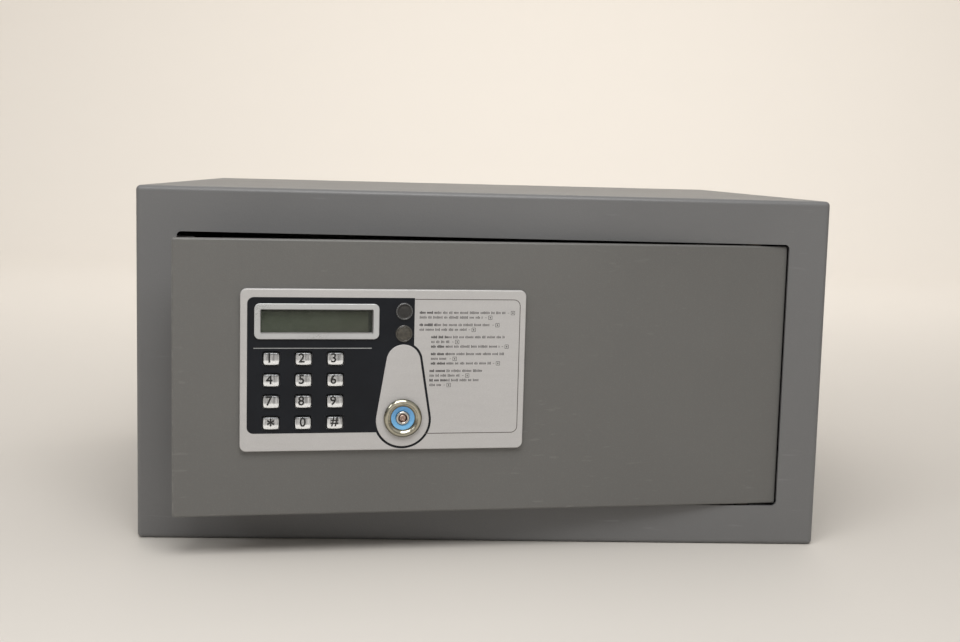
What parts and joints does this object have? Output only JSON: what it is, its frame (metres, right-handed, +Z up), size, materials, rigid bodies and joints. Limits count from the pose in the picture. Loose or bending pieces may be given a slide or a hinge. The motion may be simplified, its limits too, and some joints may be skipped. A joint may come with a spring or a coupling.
{
  "type": "electronic safe",
  "caption": "Steel safe with a side-hinged door, keypad, display and key lock; a motor drives round bolts sideways behind the door frame.",
  "frame": {"origin": "centre of the four base anchor holes, on the underside of the cabinet", "axes": "+X to the right as seen from the front, +Y to the rear, +Z up; the front face looks along -Y"},
  "size_m": [0.39, 0.3738, 0.2],
  "materials": {
    "cabinet_paint": "fine-textured grey powder coat",
    "door_paint": "fine-textured grey powder coat",
    "plated_steel": "zinc-plated steel",
    "floor_felt": "needled felt",
    "buffer_rubber": "matte black rubber",
    "washer_brass": "turned brass",
    "case_steel": "grey powder coat on thin sheet",
    "faceplate_silver": "satin silver",
    "overlay_black": "satin black film",
    "display_bezel": "bright silver",
    "display_glass": "clear window",
    "display_cell": "grey-green display",
    "lens_dark": "smoked lens",
    "lens_amber": "smoked amber lens",
    "lamp_epoxy": "clear epoxy",
    "lock_nickel": "polished nickel",
    "lock_blue": "blue moulding",
    "key_silver": "bright metallised cap",
    "keypad_rubber": "silicone rubber",
    "board_green": "solder-masked board",
    "black_plastic": "moulded black plastic",
    "cable_grey": "flat cable insulation",
    "cell_sleeve": "printed cell sleeve",
    "contact_nickel": "nickel-plated spring steel",
    "gear_brass": "cut brass"
  },
  "bodies": {
    "cabinet": {"cabinet_shell": "cabinet_paint", "back_panel": "cabinet_paint", "floor_mat": "floor_felt", "upper_hinge_bracket": "cabinet_paint", "lower_hinge_bracket": "cabinet_paint", "hinge_pins": "plated_steel", "hinge_washers": "washer_brass", "strike_angle": "cabinet_paint", "door_buffers": "buffer_rubber"},
    "door": {"door_plate": "door_paint", "hinge_blocks": "door_paint", "case_pillars": "plated_steel", "lock_case": "case_steel", "case_screws": "plated_steel", "bolt_guide": "plated_steel", "faceplate": "faceplate_silver", "faceplate_clips": "plated_steel", "keypad_overlay": "overlay_black", "lcd_frame": "display_bezel", "lcd_window": "display_glass", "lcd_module": "display_cell", "upper_lens": "lens_dark", "lower_lens": "lens_amber", "indicator_lamps": "lamp_epoxy", "lock_escutcheon": "faceplate_silver", "lock_barrel": "lock_nickel", "lock_collar": "lock_blue", "lock_nut": "plated_steel", "key_board": "board_green", "keypad_mat": "keypad_rubber", "main_board": "board_green", "board_spacers": "plated_steel", "board_screws": "plated_steel", "ribbon_cable": "cable_grey", "battery_holder": "black_plastic", "batteries": "cell_sleeve", "battery_contacts": "contact_nickel", "gearbox": "black_plastic", "motor": "plated_steel", "guide_studs": "plated_steel"},
    "bolts": {"bolt_carriage": "plated_steel", "lower_bolt": "plated_steel", "upper_bolt": "plated_steel"},
    "pinion": {"drive_pinion": "gear_brass"},
    "lock": {"lock_plug": "lock_nickel", "lock_cam": "plated_steel", "cam_nut": "plated_steel"},
    "cover": {"battery_cover": "black_plastic"},
    "one_button": {"key_one": "key_silver"},
    "two_button": {"key_two": "key_silver"},
    "three_button": {"key_three": "key_silver"},
    "four_button": {"key_four": "key_silver"},
    "five_button": {"key_five": "key_silver"},
    "six_button": {"key_six": "key_silver"},
    "seven_button": {"key_seven": "key_silver"},
    "eight_button": {"key_eight": "key_silver"},
    "nine_button": {"key_nine": "key_silver"},
    "star_button": {"key_star": "key_silver"},
    "zero_button": {"key_zero": "key_silver"},
    "hash_button": {"key_hash": "key_silver"}
  },
  "joints": [
    {"name": "door_hinge", "type": "hinge", "parent": "cabinet", "child": "door", "pos_m": [0.1535, -0.158, 0.099], "axis": [0, 0, 1], "range_deg": [-7.78, 92.22]},
    {"name": "bolt_slide", "type": "slide", "parent": "door", "child": "bolts", "axis": [-0.9908, -0.1354, 0], "range_m": [0, 0.012]},
    {"name": "pinion_spin", "type": "hinge", "parent": "door", "child": "pinion", "pos_m": [0.01127, -0.16229, 0.081], "axis": [-0.1354, 0.9908, 0], "range_deg": [-76.49, 0]},
    {"name": "lock_turn", "type": "hinge", "parent": "door", "child": "lock", "pos_m": [-0.04945, -0.16554, 0.0777], "axis": [0.1354, -0.9908, 0], "range_deg": [-90, 0]},
    {"name": "cover_slide", "type": "slide", "parent": "door", "child": "cover", "axis": [-0.9908, -0.1354, 0], "range_m": [0, 0.062]},
    {"name": "one_press", "type": "slide", "parent": "door", "child": "one_button", "axis": [-0.1354, 0.9908, 0], "range_m": [0, 0.0008], "stiffness_N_per_m": 150},
    {"name": "two_press", "type": "slide", "parent": "door", "child": "two_button", "axis": [-0.1354, 0.9908, 0], "range_m": [0, 0.0008], "stiffness_N_per_m": 150},
    {"name": "three_press", "type": "slide", "parent": "door", "child": "three_button", "axis": [-0.1354, 0.9908, 0], "range_m": [0, 0.0008], "stiffness_N_per_m": 150},
    {"name": "four_press", "type": "slide", "parent": "door", "child": "four_button", "axis": [-0.1354, 0.9908, 0], "range_m": [0, 0.0008], "stiffness_N_per_m": 150},
    {"name": "five_press", "type": "slide", "parent": "door", "child": "five_button", "axis": [-0.1354, 0.9908, 0], "range_m": [0, 0.0008], "stiffness_N_per_m": 150},
    {"name": "six_press", "type": "slide", "parent": "door", "child": "six_button", "axis": [-0.1354, 0.9908, 0], "range_m": [0, 0.0008], "stiffness_N_per_m": 150},
    {"name": "seven_press", "type": "slide", "parent": "door", "child": "seven_button", "axis": [-0.1354, 0.9908, 0], "range_m": [0, 0.0008], "stiffness_N_per_m": 150},
    {"name": "eight_press", "type": "slide", "parent": "door", "child": "eight_button", "axis": [-0.1354, 0.9908, 0], "range_m": [0, 0.0008], "stiffness_N_per_m": 150},
    {"name": "nine_press", "type": "slide", "parent": "door", "child": "nine_button", "axis": [-0.1354, 0.9908, 0], "range_m": [0, 0.0008], "stiffness_N_per_m": 150},
    {"name": "star_press", "type": "slide", "parent": "door", "child": "star_button", "axis": [-0.1354, 0.9908, 0], "range_m": [0, 0.0008], "stiffness_N_per_m": 150},
    {"name": "zero_press", "type": "slide", "parent": "door", "child": "zero_button", "axis": [-0.1354, 0.9908, 0], "range_m": [0, 0.0008], "stiffness_N_per_m": 150},
    {"name": "hash_press", "type": "slide", "parent": "door", "child": "hash_button", "axis": [-0.1354, 0.9908, 0], "range_m": [0, 0.0008], "stiffness_N_per_m": 150}
  ],
  "couplings": [
    {"joint": "pinion_spin", "follows": "bolt_slide", "rad_per_m": -111.11}
  ]
}
